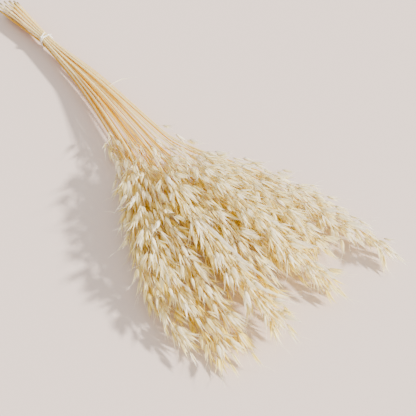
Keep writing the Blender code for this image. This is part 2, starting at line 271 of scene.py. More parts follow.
def heap(distance, aside):
    """The lowest and highest culm's height, this far from the tie and this share of the way to the side."""
    low, high = TIE_PLACE.z + LOWEST, TIE_PLACE.z + HIGHEST
    if distance < 0:
        cut = smooth(-distance / CUT_LENGTH[0])
        return mix(low, CUT_FOOT, cut), mix(high, high + CUT_RISE, cut)
    rise = smooth(distance / HEAP_PEAK)
    fall = smooth((distance - HEAP_PEAK) / (REACH[1] - HEAP_PEAK))
    spreading = smooth(distance / SIDES_FROM)
    top = mix(mix(high, HEAP_TOP, rise), TIPS_TOP, fall)
    foot = mix(low, HEAP_FOOT, spreading)
    shoulder = 1 - SHOULDER * spreading * aside * aside
    return foot, max(foot + high - low, foot + (top - foot) * shoulder)


print("waist in mm:", round(1000 * WAIST, 1), "widest in mm:", round(1000 * half_width(REACH[1])))


# %% One oat plant's line
class Culm:
    """One oat plant: its place in the tie, and the line that its culm and the axis of its head follow."""

    def __init__(self, place, draw):
        self.across, up = place
        self.aside = self.across / WAIST
        self.height = (up - LOWEST) / (HIGHEST - LOWEST)
        below_the_top = 1 - smooth((self.height - INSIDE_BELOW) / (OUTSIDE_FROM - INSIDE_BELOW))
        self.inside = below_the_top * (1 - self.aside ** 2)
        self.cut = draw.uniform(*CUT_LENGTH)
        self.reach = draw.uniform(*REACH) - LEFT_SHORTER * max(-self.aside, 0) ** 2
        self.head = draw.uniform(*HEAD_LENGTH) - RIGHT_SHORTER * max(self.aside, 0)
        self.neck = self.reach - self.head
        self.lean = draw.uniform(-1, 1), draw.uniform(-1, 1)
        self.sway = draw.uniform(0, math.tau)
        self.points = [self.point(distance) for distance in self.stations()]

    def point(self, distance):
        """The middle of the culm at this distance from the tie, negative towards the cut end."""
        wide = half_width(distance) / WAIST
        foot, top = heap(distance, self.aside)
        room_across = STRAY * PITCH * (wide - 1)
        room_up = STRAY * PITCH * max((top - foot) / (HIGHEST - LOWEST) - 1, 0)
        wander = math.sin(self.sway + distance * WANDER_WAVES)
        stray = (1 - WANDER_SHARE) * self.lean[0] + WANDER_SHARE * wander
        sweep = SWEEP * smooth((distance - SWEEP_FROM) / (SWEEP_TO - SWEEP_FROM))
        aside = self.across * wide + sweep + room_across * stray
        height = mix(foot, top, self.height) + room_up * self.lean[1] * math.sin(math.pi * self.height)
        return Vector((TIE_PLACE.x + distance, TIE_PLACE.y + aside, height))

    def stations(self):
        """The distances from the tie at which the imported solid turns."""
        return [-self.cut, *CULM_TURNS, *(self.neck + self.head * share for share in HEAD_TURNS)]

    def radius(self, distance):
        if distance < self.neck:
            taper = smooth((distance - TAPER_FROM) / (self.neck - TAPER_FROM))
            return mix(CULM_RADIUS, NECK_RADIUS, taper)
        return mix(NECK_RADIUS, TIP_RADIUS, (distance - self.neck) / self.head)

    def on_line(self, distance):
        """The point on the straight stretches between the stations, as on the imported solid."""
        marks = self.stations()
        following = next((i for i, mark in enumerate(marks) if mark >= distance), len(marks) - 1)
        start, end = marks[following - 1], marks[following]
        return self.points[following - 1].lerp(self.points[following], (distance - start) / (end - start))

    def heading(self, distance):
        return (self.on_line(distance + HEADING_STEP) - self.on_line(distance - HEADING_STEP)).normalized()

    def segments(self):
        radii = [self.radius(mark) for mark in self.stations()]
        return list(zip(self.points, self.points[1:], radii))

    def face_angle(self, distance, side):
        """The direction in which one of a whorl's three stalks leaves the axis."""
        return self.sway + AXIS_TWIST * distance + math.pi / 3 + math.tau * side / 3


# %% [markdown]
# ## Room in a crowd
# Two thousand spikelets have to share one heap. Each is tried at a drawn place, and kept only where it has
# room. As thick line segments they can be tested by the thousand with numpy, which a mesh or physics test
# couldn't do in time.


# %% A crowd of thick line segments
def dot(a, b):
    return (a * b).sum(axis=-1)


def segment_gaps(starts, ends, other_starts, other_ends):
    """The distances between the middle lines of two sets of segments, each with each of the other set."""
    along, other, apart = ends - starts, other_ends - other_starts, starts - other_starts
    a, e, b = dot(along, along), dot(other, other), dot(along, other)
    c, f = dot(along, apart), dot(other, apart)
    s = np.clip((b * f - c * e) / np.maximum(a * e - b * b, 1e-18), 0, 1)
    t = (b * s + f) / e
    inside = np.clip(t, 0, 1)
    s = np.where(t == inside, s, np.clip((b * inside - c) / a, 0, 1))
    nearest = apart + s[..., None] * along - inside[..., None] * other
    return np.sqrt(dot(nearest, nearest))


class Crowd:
    """Every culm, stalk and spikelet laid so far, as short thick segments, to keep the next one clear."""

    LONGEST = 0.025

    def __init__(self):
        self.starts = np.empty((0, 3))
        self.ends = np.empty((0, 3))
        self.radii = np.empty(0)
        self.owners = np.empty(0)

    def add(self, start, end, radius, owner):
        pieces = math.ceil((end - start).length / self.LONGEST)
        cuts = np.array([start.lerp(end, i / pieces) for i in range(pieces + 1)])
        self.starts = np.vstack((self.starts, cuts[:-1]))
        self.ends = np.vstack((self.ends, cuts[1:]))
        self.radii = np.append(self.radii, [radius] * pieces)
        self.owners = np.append(self.owners, [owner] * pieces)

    def room(self, segments, skip=None):
        """The smallest gap between these thick segments and those in the crowd that skip doesn't own."""
        starts, ends, radii = (np.array(column) for column in zip(*segments))
        middles = (self.starts + self.ends) / 2
        low = np.minimum(starts, ends).min(axis=0) - self.LONGEST
        high = np.maximum(starts, ends).max(axis=0) + self.LONGEST
        near = (middles > low).all(axis=1) & (middles < high).all(axis=1) & (self.owners != skip)
        gaps = segment_gaps(starts[:, None], ends[:, None], self.starts[near], self.ends[near])
        return (gaps - radii[:, None] - self.radii[near]).min(initial=1.0)


# %% [markdown]
# ## Where every spikelet hangs
# An oat head is a loose panicle: at each level of its axis a whorl of thin stalks leaves, and each stalk
# carries one spikelet that nods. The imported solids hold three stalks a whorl, larger than life, and they
# are laid here first, by the same draws. Then each head gets its further spikelets in what room is left,
# down to touching. Most lie combed along the head and are slim, as after weeks in a bundle. Some hang
# loose, more of them on the left. All keep clear of three dry leaf strips, whose lines are set here too.

# %% The sizes of the heads
WHORLS = 6
STALKS_IN_A_WHORL = 3
STALK_STEP = 0.3
STALK_STRAY = 0.35
SIDE_STRAY = 0.6
BARE_TIP = 0.07
STALK_RADIUS = 0.00043
STALK_LENGTH_DRAW = (0.5, 1.1)
BELLY = 0.40
END_GAPE = (0.0012, 0.0022)
END_STALK = 0.005
END_ROOT = 0.002
END_NOD = 0.1
FLAT_ROLL = 0.15
AXIS_TWIST = 12.0
CLEARANCE = 0.0006
NECK_GUARD = 0.0019
GLUME_GUARD = 0.0013
LOW_NECK = 0.0010
LOW_TIP = -0.0004
LOW_BELLY = 0.0040
TRIES = 50
MORE_SPIKELETS = 90
FEWER_INSIDE = 0.55
MORE_TRIES = 25
TOUCHING = -0.0010
PROUD = np.array((0.008, 0.002, 0.0015))
LATER_ON_THE_RIGHT = 0.34
FULLER = 0.85
LOOSE_ON_THE_LEFT, LOOSE_ON_THE_RIGHT = 0.35, 0.12

Habit = namedtuple("Habit", "tip_spread stalk_length stalk_spread spikelet_spread nod size gape slim")
GATHERED = Habit(
    0.60, (0.010, 0.027), (0.40, 1.05), (-0.05, 0.50), (0.05, 0.40), (0.0185, 0.0235), (0.0014, 0.0036), 0.0
)
COMBED = Habit(
    0.60, (0.008, 0.020), (0.15, 0.75), (-0.05, 0.35), (0.00, 0.20), (0.0190, 0.0260), (0.0012, 0.0036), 0.75
)
LOOSE = Habit(
    0.90, (0.014, 0.026), (0.40, 1.20), (0.10, 0.95), (0.00, 0.45), (0.0200, 0.0260), (0.0024, 0.0050), 0.25
)
Sprig = namedtuple("Sprig", "distance root neck belly across depth tips size gape slim", defaults=[False])

Strip = namedtuple("Strip", "line half_width turn")
NOBODY = -1
STRIPS = (
    Strip(((0.150, -0.028, 0.048), (0.190, -0.030, 0.060), (0.213, -0.034, 0.068), (0.229, -0.034, 0.068),
           (0.247, -0.033, 0.064), (0.266, -0.029, 0.057), (0.280, -0.023, 0.049), (0.297, -0.020, 0.044),
           (0.310, -0.016, 0.039), (0.319, -0.010, 0.039), (0.324, -0.003, 0.041)), 0.0018, math.radians(75)),
    Strip(((-0.098, 0.030, 0.026), (-0.095, 0.040, 0.029), (-0.096, 0.044, 0.030), (-0.095, 0.055, 0.031),
           (-0.089, 0.065, 0.031), (-0.085, 0.076, 0.029)), 0.0009, math.radians(120)),
    Strip(((0.165, -0.062, 0.034), (0.178, -0.073, 0.038), (0.190, -0.082, 0.038), (0.202, -0.092, 0.034),
           (0.208, -0.103, 0.028)), 0.0009, math.radians(100)),
)


# %% Drawing one stalk with its spikelet
def cross_frame(direction):
    """Two unit vectors square to a direction: one level, one as upright as can be."""
    level = direction.cross(Vector((0, 0, 1)))
    if level.length < 0.05:
        level = Vector((0, 1, 0))
    level.normalize()
    return level, level.cross(direction).normalized()


def around(frame_of_two, angle):
    return math.cos(angle) * frame_of_two[0] + math.sin(angle) * frame_of_two[1]


def raised(point, height):
    """The point, lifted to this height where it would lie lower."""
    return Vector((point.x, point.y, max(point.z, height)))


def draw_sprig(culm, distance, angle, draw, habit=GATHERED):
    """A stalk with a spikelet of two open glumes, leaving the head's axis at this distance and side."""
    root = culm.on_line(distance)
    share = (distance - culm.neck) / culm.head
    forward = culm.heading(distance)
    outward = mix(1.0, habit.tip_spread, share) * around(cross_frame(forward), angle)
    length = mix(habit.stalk_length[1], habit.stalk_length[0], share) * draw.uniform(*STALK_LENGTH_DRAW)
    spread = draw.uniform(*habit.stalk_spread)
    neck = raised(root + length * (forward + spread * outward).normalized(), LOW_NECK)
    nod = draw.uniform(*habit.nod)
    aim = (forward + draw.uniform(*habit.spikelet_spread) * outward + nod * DOWN).normalized()
    size = draw.uniform(*habit.size)
    end = raised(neck + size * aim, LOW_TIP)
    aim = (end - neck).normalized()
    belly = neck + BELLY * size * aim
    roll = draw.uniform(0, math.pi) if belly.z > LOW_BELLY else draw.uniform(-FLAT_ROLL, FLAT_ROLL)
    across = around(cross_frame(aim), roll)
    gape = draw.uniform(*habit.gape)
    tips = raised(end + gape * across, LOW_TIP), raised(end - gape * across, LOW_TIP)
    return Sprig(distance, root, neck, belly, across, across.cross(aim).normalized(), tips, size, gape)


def end_sprig(culm, draw):
    """The spikelet that ends the head's own axis."""
    distance = culm.reach - END_ROOT
    forward = culm.heading(culm.reach - 2 * END_ROOT)
    root = culm.on_line(distance)
    neck = raised(root + END_STALK * forward, LOW_NECK)
    size = GATHERED.size[1]
    end = raised(neck + size * (forward + END_NOD * DOWN).normalized(), LOW_TIP)
    across, depth = cross_frame((end - neck).normalized())
    gape = draw.uniform(*END_GAPE)
    tips = (end + gape * across, end - gape * across)
    return Sprig(distance, root, neck, neck.lerp(end, BELLY), across, depth, tips, size, gape)


def body_of(sprig):
    """The spikelet as thick segments: neck to belly, and belly to both glume tips."""
    glumes = [(sprig.belly, tip, GLUME_GUARD) for tip in sprig.tips]
    return [(sprig.neck, sprig.belly, NECK_GUARD)] + glumes


def stalk_of(sprig):
    return (sprig.root, sprig.neck, STALK_RADIUS)


def lay(sprig, owner, crowd):
    """Adds a sprig to the crowd, with its stalk owned by its culm and its spikelet not."""
    crowd.add(*stalk_of(sprig), owner)
    for segment in body_of(sprig):
        crowd.add(*segment, owner + 0.5)


# %% Growing the culms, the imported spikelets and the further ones
def grow_culms(crowd, draw):
    """A culm for each place in the tie, drawn again until it runs clear of those before it."""
    culms = []
    for owner, place in enumerate(PLACES):
        for _ in range(TRIES):
            culm = Culm(place, draw)
            if crowd.room(culm.segments()) >= GAP:
                break
        for segment in culm.segments():
            crowd.add(*segment, owner)
        culms.append(culm)
    return culms


def grow_heads(culms, crowd, draw):
    """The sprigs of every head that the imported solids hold, whorl by whorl and head by head."""
    heads = [[end_sprig(culm, draw)] for culm in culms]
    for owner, (first,) in enumerate(heads):
        lay(first, owner, crowd)
    for whorl in range(WHORLS):
        for owner, culm in enumerate(culms):
            for stalk in range(STALKS_IN_A_WHORL):
                for _ in range(TRIES):
                    level = whorl + STALK_STEP * stalk + draw.uniform(0, STALK_STRAY)
                    distance = culm.neck + culm.head * (level / WHORLS * (1 - BARE_TIP))
                    angle = culm.face_angle(distance, stalk) + draw.uniform(-SIDE_STRAY, SIDE_STRAY)
                    sprig = draw_sprig(culm, distance, angle, draw)
                    if crowd.room(body_of(sprig)) < CLEARANCE:
                        continue
                    if crowd.room([stalk_of(sprig)], skip=owner) < CLEARANCE:
                        continue
                    lay(sprig, owner, crowd)
                    heads[owner].append(sprig)
                    break
    return heads


def near_box(points, proud):
    """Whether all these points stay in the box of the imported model, or this little past it."""
    low, high = np.array(cad_low) - proud, np.array(cad_high) + proud
    return ((low < points) & (points < high)).all()


def fill_heads(culms, heads, crowd, draw):
    """Further sprigs between those, one more in each head at a time, where they at most touch others."""
    for _ in range(MORE_SPIKELETS):
        for owner, culm in enumerate(culms):
            if draw.random() < FEWER_INSIDE * culm.inside:
                continue
            start = LATER_ON_THE_RIGHT * (1 + culm.aside) / 2
            loose = mix(LOOSE_ON_THE_LEFT, LOOSE_ON_THE_RIGHT, (1 + culm.aside) / 2)
            for _ in range(MORE_TRIES):
                distance = culm.neck + culm.head * mix(start, 1 - BARE_TIP, draw.random() ** FULLER)
                habit = LOOSE if draw.random() < loose else COMBED
                sprig = draw_sprig(culm, distance, draw.uniform(0, math.tau), draw, habit)
                if not near_box(np.array((sprig.neck, *sprig.tips)), PROUD):
                    continue
                if crowd.room(body_of(sprig)) < TOUCHING:
                    continue
                lay(sprig, owner, crowd)
                heads[owner].append(sprig._replace(slim=draw.random() < habit.slim))
                break


draw = random.Random(SEED)
crowd = Crowd()
culms = grow_culms(crowd, draw)
heads = grow_heads(culms, crowd, draw)
packed_spikelets = sum(len(head) for head in heads)
for strip in STRIPS:
    line = [Vector(point) for point in strip.line]
    for start, end in zip(line, line[1:]):
        crowd.add(start, end, strip.half_width, NOBODY)
fill_heads(culms, heads, crowd, draw)
print("spikelets in the packed solids:", packed_spikelets, "in all:", sum(len(head) for head in heads))

# %% [markdown]
# ## How deep each spikelet lies
# Deep in the heap, light that has passed many glumes is dim and golden, and that is painted in here: what
# lies deep keeps more of the straw's gold as painted shade, and so do whole heads from inside the bundle,
# which show between the paler ones on top. Bleaching, which whitens the outside of a bundle most, gives a
# little of it too. Heads on the right, where the window light falls, get less. A number for each spikelet
# says how deep it lies, and the materials read it. It could be painted by hand, but counting the neighbours
# above each spikelet does it for the whole heap at once.

# %% A depth value for each spikelet
# The depth sets how much painted shade, in gold, each spikelet gets.
COVER_REACH = 0.018
COVER_HIGHER = 0.005
COVER_FULL = 16
COVER_SHARE = 0.70
INSIDE_SHARE = 0.80
# Less painted shade on the right, the side that the window lights.
PALER_ON_THE_RIGHT = 0.55


def covers(heads):
    """For each spikelet, the share of a full cover that lies over it, head by head."""
    middles = np.array([sprig.belly for head in heads for sprig in head])
    apart = middles[:, None, :2] - middles[None, :, :2]
    close = (apart ** 2).sum(axis=-1) < COVER_REACH ** 2
    higher = middles[None, :, 2] > middles[:, None, 2] + COVER_HIGHER
    flat = iter(np.minimum((close & higher).sum(axis=1) / COVER_FULL, 1))
    return [[float(next(flat)) for _ in head] for head in heads]


def depths(culm, head_covers):
    """How deep each spikelet of a head lies, from its own cover and from its stem's place in the bundle,
    which sets its painted shade; less on the right, where the light falls.
    """
    paler = 1 - PALER_ON_THE_RIGHT * (1 + culm.aside) / 2
    return [min(COVER_SHARE * cover + INSIDE_SHARE * culm.inside, 1) * paler for cover in head_covers]


# Each spikelet's depth, which the materials turn into painted shade.
painted_shade = [depths(culm, head_covers) for culm, head_covers in zip(culms, covers(heads))]
shares = sorted(value for head in painted_shade for value in head)
print("depth of the spikelets, by tenths:", [round(shares[len(shares) * i // 10], 2) for i in range(10)])

# %% [markdown]
# ## Finishes of the plant
# Bleached oats are made of one stuff in several thicknesses, so their materials share two node groups. One
# mixes the bleached and the golden colour, by a random tone and patches and by the depth in the heap, which
# is painted shade; the other draws fine lines along the grain. Glumes, leaves and straw are so thin that
# light shines through them, so a Translucent shader is mixed in. Subsurface scattering could do the same, but
# it blurs the edges of sheets this small.

# %% Helpers for wiring nodes
def feed(tree, node, inputs):
    """Gives a node's inputs their values, or links the sockets that feed them."""
    for key, value in inputs.items():
        if isinstance(value, bpy.types.NodeSocket):
            tree.links.new(value, node.inputs[key])
        else:
            node.inputs[key].default_value = value


def add(tree, kind, inputs=None, **settings):
    """The outputs of a new node of this kind, with its settings and its inputs."""
    node = tree.nodes.new(kind)
    for name, value in settings.items():
        setattr(node, name, value)
    feed(tree, node, inputs or {})
    return node.outputs


def maths(tree, operation, *values, clamp=True):
    """The result of a Math node on values or sockets, kept between 0 and 1 unless clamp is off."""
    return add(tree, "ShaderNodeMath", dict(enumerate(values)), operation=operation, use_clamp=clamp)[0]


def ranged(tree, value, low, high, to_low=0.0, to_high=1.0):
    """The value, which runs from low to high, as one that runs from to_low to to_high."""
    inputs = {"Value": value, "From Min": low, "From Max": high, "To Min": to_low, "To Max": to_high}
    return add(tree, "ShaderNodeMapRange", inputs)["Result"]


def blended(tree, share, first, second):
    """A mix of two colours."""
    return add(tree, "ShaderNodeMix", {0: share, 6: first, 7: second}, data_type="RGBA")[2]


def noise(tree, scale, detail):
    """A noise that runs through the piece's own space."""
    place = add(tree, "ShaderNodeTexCoord")["Object"]
    return add(tree, "ShaderNodeTexNoise", {"Vector": place, "Scale": scale, "Detail": detail})["Fac"]


def bumped(tree, height, strength, distance):
    """The normal of a surface that is raised by a height."""
    return add(tree, "ShaderNodeBump", {"Height": height, "Strength": strength, "Distance": distance})[0]


def grain_map(tree):
    """The piece's own map: X runs across it from 0 to 1, and Y along it."""
    return add(tree, "ShaderNodeSeparateXYZ", {0: add(tree, "ShaderNodeUVMap", uv_map="grain")[0]})


def stored(tree, name):
    """A value stored on the piece's points."""
    return add(tree, "ShaderNodeAttribute", attribute_name=name)["Fac"]


def group_of(name, inputs, outputs):
    """An empty node group with these sockets and defaults, what it is given, and its end node."""
    group = bpy.data.node_groups.new(name, "ShaderNodeTree")
    for in_out, sockets in (("INPUT", inputs), ("OUTPUT", outputs)):
        for label, value in sockets.items():
            kind = "NodeSocketColor" if isinstance(value, tuple) else "NodeSocketFloat"
            socket = group.interface.new_socket(label, in_out=in_out, socket_type=kind)
            socket.default_value = value
    return group, add(group, "NodeGroupInput"), group.nodes.new("NodeGroupOutput")


# %% The group that bleaches and paints shade
PALE = (0.980, 0.975, 0.900, 1)
# GOLD and AMBER colour both the straw's own uneven gold and the painted shade deep in the heap.
GOLD = (0.990, 0.925, 0.500, 1)
AMBER = (0.860, 0.650, 0.160, 1)
PATCH_SCALE = 90.0


def make_bleaching_and_shade():
    """Pale on the outside and golden deep in the heap, partly bleaching and mostly painted shade; patchy, and
    never quite alike on two spikelets.
    """
    defaults = {"Pale": PALE, "Gold": GOLD, "Gold within": 0.8, "Uneven": 0.18, "More": 0.0}
    group, given, end = group_of("bleaching_and_painted_shade", defaults, {"Colour": PALE})
    patches = ranged(group, noise(group, PATCH_SCALE, 2.0), 0.35, 0.75)
    gold = maths(group, "MULTIPLY", stored(group, "tone"), given["Uneven"])
    patchy = maths(group, "MULTIPLY", patches, given["Uneven"])
    # Painted shade: more gold the deeper the piece lies in the heap, scaled by Gold within.
    within = maths(group, "MULTIPLY", stored(group, "painted_shade"), given["Gold within"])
    for more in (patchy, within, given["More"]):
        gold = maths(group, "ADD", gold, more)
    feed(group, end, {"Colour": blended(group, gold, given["Pale"], given["Gold"])})
    return group


BLEACHING_AND_SHADE = make_bleaching_and_shade()


# %% The group that draws the grain
def make_grain():
    """Fine raised lines along the piece, sharp or soft, and how far along it each point lies."""
    defaults = {"Lines": 9.0, "Sharpness": 3.0}
    group, given, end = group_of("grain", defaults, {"Line": 0.0, "Along": 0.0})
    place = grain_map(group)
    turns = maths(group, "MULTIPLY", place["X"], given["Lines"], clamp=False)
    wave = maths(group, "PINGPONG", turns, 0.5, clamp=False)
    high = maths(group, "MULTIPLY", wave, 2.0, clamp=False)
    feed(group, end, {"Line": maths(group, "POWER", high, given["Sharpness"]), "Along": place["Y"]})
    return group


GRAIN = make_grain()
GRAIN_BUMP = 0.3
FOOT_SHARE = 0.3


# %% Papery glumes and leaves, firm husks, glossy straw and bristly awns
def plant_finish(name, pale, within, lines, sharpness, line_gold, gold=GOLD, foot_gold=0.0,
                 roughness=0.50, bump=0.00010, through=0.65):
    """A finish of the oat plant. within is how much painted shade the depth in the heap adds, and through is
    how much of the light passes, as it does in the thin parts.
    """
    material, shader = painted(name, pale, roughness)
    tree = material.node_tree
    grain = add(tree, "ShaderNodeGroup", {"Lines": lines, "Sharpness": sharpness}, node_tree=GRAIN)
    foot = ranged(tree, grain["Along"], 0.0, FOOT_SHARE, foot_gold, 0.0)
    extra = maths(tree, "ADD", foot, maths(tree, "MULTIPLY", grain["Line"], line_gold))
    # Gold within carries the painted shade from the depth value.
    given = {"Pale": pale, "Gold": gold, "Gold within": within, "More": extra}
    colour = add(tree, "ShaderNodeGroup", given, node_tree=BLEACHING_AND_SHADE)["Colour"]
    normal = bumped(tree, grain["Line"], GRAIN_BUMP, bump)
    feed(tree, shader, {"Base Color": colour, "Normal": normal})
    if through:
        glow = add(tree, "ShaderNodeBsdfTranslucent", {"Color": colour, "Normal": normal})[0]
        sheet = add(tree, "ShaderNodeMixShader", {0: through, 1: shader.outputs[0], 2: glow})[0]
        feed(tree, tree.nodes["Material Output"], {"Surface": sheet})
    return material


PAPER, HUSK, STRAW, BRISTLE = range(4)
plant_materials = [
    plant_finish("papery_glume", (0.985, 0.968, 0.955, 1), within=0.90, lines=9.0, sharpness=4.0,
                 line_gold=0.08, foot_gold=0.10),
    plant_finish("firm_husk", (0.980, 0.950, 0.820, 1), within=0.95, lines=5.0, sharpness=2.0,
                 line_gold=0.12, foot_gold=0.15, roughness=0.45),
    plant_finish("glossy_straw", (0.968, 0.938, 0.760, 1), within=1.00, lines=14.0, sharpness=1.5,
                 line_gold=0.24, gold=AMBER, roughness=0.34, bump=0.00008, through=0.55),
    plant_finish("bristly_awn", (0.970, 0.940, 0.840, 1), within=0.50, lines=3.0, sharpness=1.0,
                 line_gold=0.10, bump=0.00005, through=0.0),
]
print("plant finishes:", [material.name for material in plant_materials])

# %% [markdown]
# ## The shapes that repeat
# A spikelet has two glumes like the halves of a boat, with two florets in firm husks between them. A glume
# starts as a ball with few faces. Its near and far half are pressed together to a thin shell, which is
# drawn out to a point and rolled round the middle. A flat grid with Solidify would do too, but the ball is
# closed from the start. A few spikelets are shaped, from nearly shut to wide open, and the rest are copies.

# %% Pressing a ball into a glume or a husk
GLUME_LENGTH = 0.0225
GLUME_HALF_WIDTH = 0.0024
SLIM_HALF_WIDTH = 0.0015
GLUME_BELLY = 0.0015
GLUME_SHELL = 0.00022
GLUME_FOLD = math.radians(78)
HUSK_HALF_WIDTH = 0.00095
HUSK_FOOT = 0.03
CLOSE = 0.01


def ball(segments, rings):
    """A ball to be shaped, with each point's place along it from 0 to 1 and its angle round it."""
    mesh = bmesh.new()
    mesh.loops.layers.uv.new("grain")
    bmesh.ops.create_uvsphere(mesh, u_segments=segments, v_segments=rings, radius=1)
    places = {}
    for vertex in mesh.verts:
        along = math.acos(min(max(-vertex.co.z, -1), 1)) / math.pi
        places[vertex] = along, math.atan2(vertex.co.y, vertex.co.x)
    return mesh, places


def map_grain(mesh, across_and_along):
    """Lays the grain's map over the faces from each point's place across and along."""
    grain = mesh.loops.layers.uv["grain"]
    for face in mesh.faces:
        for loop in face.loops:
            loop[grain].uv = across_and_along[loop.vert]


def swell(along):
    """How a glume's width grows quickly from its foot and then tapers to a point."""
    return math.sin(math.pi * along ** 0.60) ** 1.7


def glume(length, half_width, belly, gape, curl):
    """One glume, bulging to +X and open towards the middle, with its tip gape away from it."""
    mesh, places = ball(8, 6)
    spots = {}
    for vertex, (along, angle) in places.items():
        quarters = angle / (math.pi / 2)
        outer = abs(quarters) <= 1 + CLOSE
        across = quarters if outer else math.copysign(2 - abs(quarters), angle)
        at_rim = abs(abs(across) - 1) < CLOSE
        shell = 0 if outer or at_rim else GLUME_SHELL * min(4 * along, 4 * (1 - along), 1)
        turn = across * GLUME_FOLD
        bulge, width = belly * swell(along), half_width * swell(along)
        middle = gape * along ** 1.6 + curl * along ** 4
        out, aside = (bulge - shell) * math.cos(turn), (width - shell) * math.sin(turn)
        vertex.co = middle + out, aside, length * along
        spots[vertex] = 0.5 + across / 2, along
    for edge in mesh.edges:
        edge.smooth = not all(abs(abs(spots[vertex][0] - 0.5) - 0.5) < CLOSE for vertex in edge.verts)
    map_grain(mesh, spots)
    return mesh


def husk(length, lean):
    """A floret shut in its husk: a slim pointed ball that leans to one side."""
    mesh, places = ball(6, 5)
    spots = {}
    for vertex, (along, angle) in places.items():
        width = HUSK_HALF_WIDTH * swell(along)
        across, deep = width * math.cos(angle), width * math.sin(angle)
        vertex.co = lean * along + across, deep, length * (HUSK_FOOT + along)
        spots[vertex] = 0.5 + angle / math.tau, along
    map_grain(mesh, spots)
    return mesh


# %% Extruding a ring along a line of points
def frames_along(points):
    """At each point of a line, the directions sideways, up and forwards, turning no more than the line."""
    frames = []
    side = cross_frame((points[1] - points[0]).normalized())[0]
    for i in range(len(points)):
        forward = (points[min(i + 1, len(points) - 1)] - points[max(i - 1, 0)]).normalized()
        side = (side - side.dot(forward) * forward).normalized()
        frames.append((side, forward.cross(side), forward))
    return frames


def placing(origin, *axes):
    """The matrix that sets a shape at a point, with its X, Y and Z turned and stretched to these axes."""
    return Matrix.Translation(origin) @ Matrix(axes).transposed().to_4x4()


def ring_places(points, wide, thick=None, turns=None):
    """A matrix for each ring: Z along the line, and the ring's two half sizes as its scale."""
    thick = thick or wide
    turns = turns or [0.0] * len(points)
    places = []
    for i, (side, up, forward) in enumerate(frames_along(points)):
        across = around((side, up), turns[i])
        places.append(placing(points[i], wide[i] * across, thick[i] * forward.cross(across), forward))
    return places


def turn_of(vertex, place):
    """At which share of a turn a point of a ring lies."""
    local = place.inverted() @ vertex.co
    return math.atan2(local.y, local.x) / math.tau


def hose(places, sides, hollow=None):
    """A tube extruded from ring to ring, ended by flat faces, with its start bored out if hollow is given."""
    mesh = bmesh.new()
    grain = mesh.loops.layers.uv.new("grain")
    bmesh.ops.create_circle(mesh, cap_ends=True, segments=sides, radius=1, matrix=places[0])
    start, edges, along = mesh.faces[:], mesh.edges[:], 0.0
    spots = {vertex: (turn_of(vertex, places[0]), along) for vertex in mesh.verts}
    for before, place in zip(places, places[1:]):
        grown = bmesh.ops.extrude_edge_only(mesh, edges=edges)["geom"]
        ring = [part for part in grown if isinstance(part, BMVert)]
        edges = [part for part in grown if isinstance(part, BMEdge) and set(part.verts) <= set(ring)]
        bmesh.ops.transform(mesh, matrix=place @ before.inverted(), verts=ring)
        along += (place.translation - before.translation).length
        spots.update((vertex, (turn_of(vertex, place), along)) for vertex in ring)
    bmesh.ops.contextual_create(mesh, geom=edges)
    for face in mesh.faces:
        turns = [spots[loop.vert][0] for loop in face.loops]
        wraps = max(turns) - min(turns) > 0.5
        for loop, turn in zip(face.loops, turns):
            loop[grain].uv = turn + (wraps and turn < 0), spots[loop.vert][1]
    if hollow:
        wall, deep = hollow
        inwards = (places[1].translation - places[0].translation).normalized()
        bmesh.ops.inset_region(mesh, faces=start, thickness=wall)
        bmesh.ops.translate(mesh, verts=start[0].verts, vec=deep * inwards)
    bmesh.ops.recalc_face_normals(mesh, faces=mesh.faces)
    return mesh


# %% The set of shapes
SHUT, OPEN = 0.0010, 0.0048
OPENINGS = 10
BELLY_DRAW = (0.85, 1.15)
CURL = (-0.0010, 0.0020)
LOWER_GLUME = (0.86, 0.98)
LARGE_FLORET = (0.70, 0.80)
SMALL_FLORET = (0.50, 0.62)
FLORET_LEAN = 0.45
AWNS = 5
AWN_RADIUS = 0.00016
AWN_BEYOND_KNEE = (0.010, 0.024)
ARCH = 4.0
STALK_RINGS = ((0.0, 1.0), (0.35, 0.75), (0.7, 0.8), (0.9, 1.0), (1.0, 1.7))


def as_shape(name, parts):
    """A mesh to copy, made of bmeshes that each take the faces of one material slot."""
    whole = bmesh.new()
    for part, slot in parts:
        for face in part.faces:
            face.material_index = slot
            face.smooth = True
        one = as_mesh("part", part)
        whole.from_mesh(one)
        bpy.data.meshes.remove(one)
    shape = as_mesh(name, whole)
    # Each copy's random tone, and its depth in the heap, which sets its painted shade.
    shape.attributes.new("tone", "FLOAT", "POINT")
    shape.attributes.new("painted_shade", "FLOAT", "POINT")
    return shape


def spikelet(gape, half_width, draw):
    """Two glumes that part by the gape, the lower one shorter, round a large and a small floret."""
    belly = GLUME_BELLY * draw.uniform(*BELLY_DRAW) * half_width / GLUME_HALF_WIDTH
    upper = glume(GLUME_LENGTH, half_width, belly, gape, draw.uniform(*CURL))
    shorter = GLUME_LENGTH * draw.uniform(*LOWER_GLUME)
    lower = glume(shorter, half_width, belly, gape, draw.uniform(*CURL))
    bmesh.ops.rotate(lower, verts=lower.verts, matrix=Matrix.Rotation(math.pi, 3, "Z"))
    large = husk(GLUME_LENGTH * draw.uniform(*LARGE_FLORET), gape * FLORET_LEAN)
    small = husk(GLUME_LENGTH * draw.uniform(*SMALL_FLORET), -gape * FLORET_LEAN)
    return as_shape("spikelet", [(upper, PAPER), (lower, PAPER), (large, HUSK), (small, HUSK)])


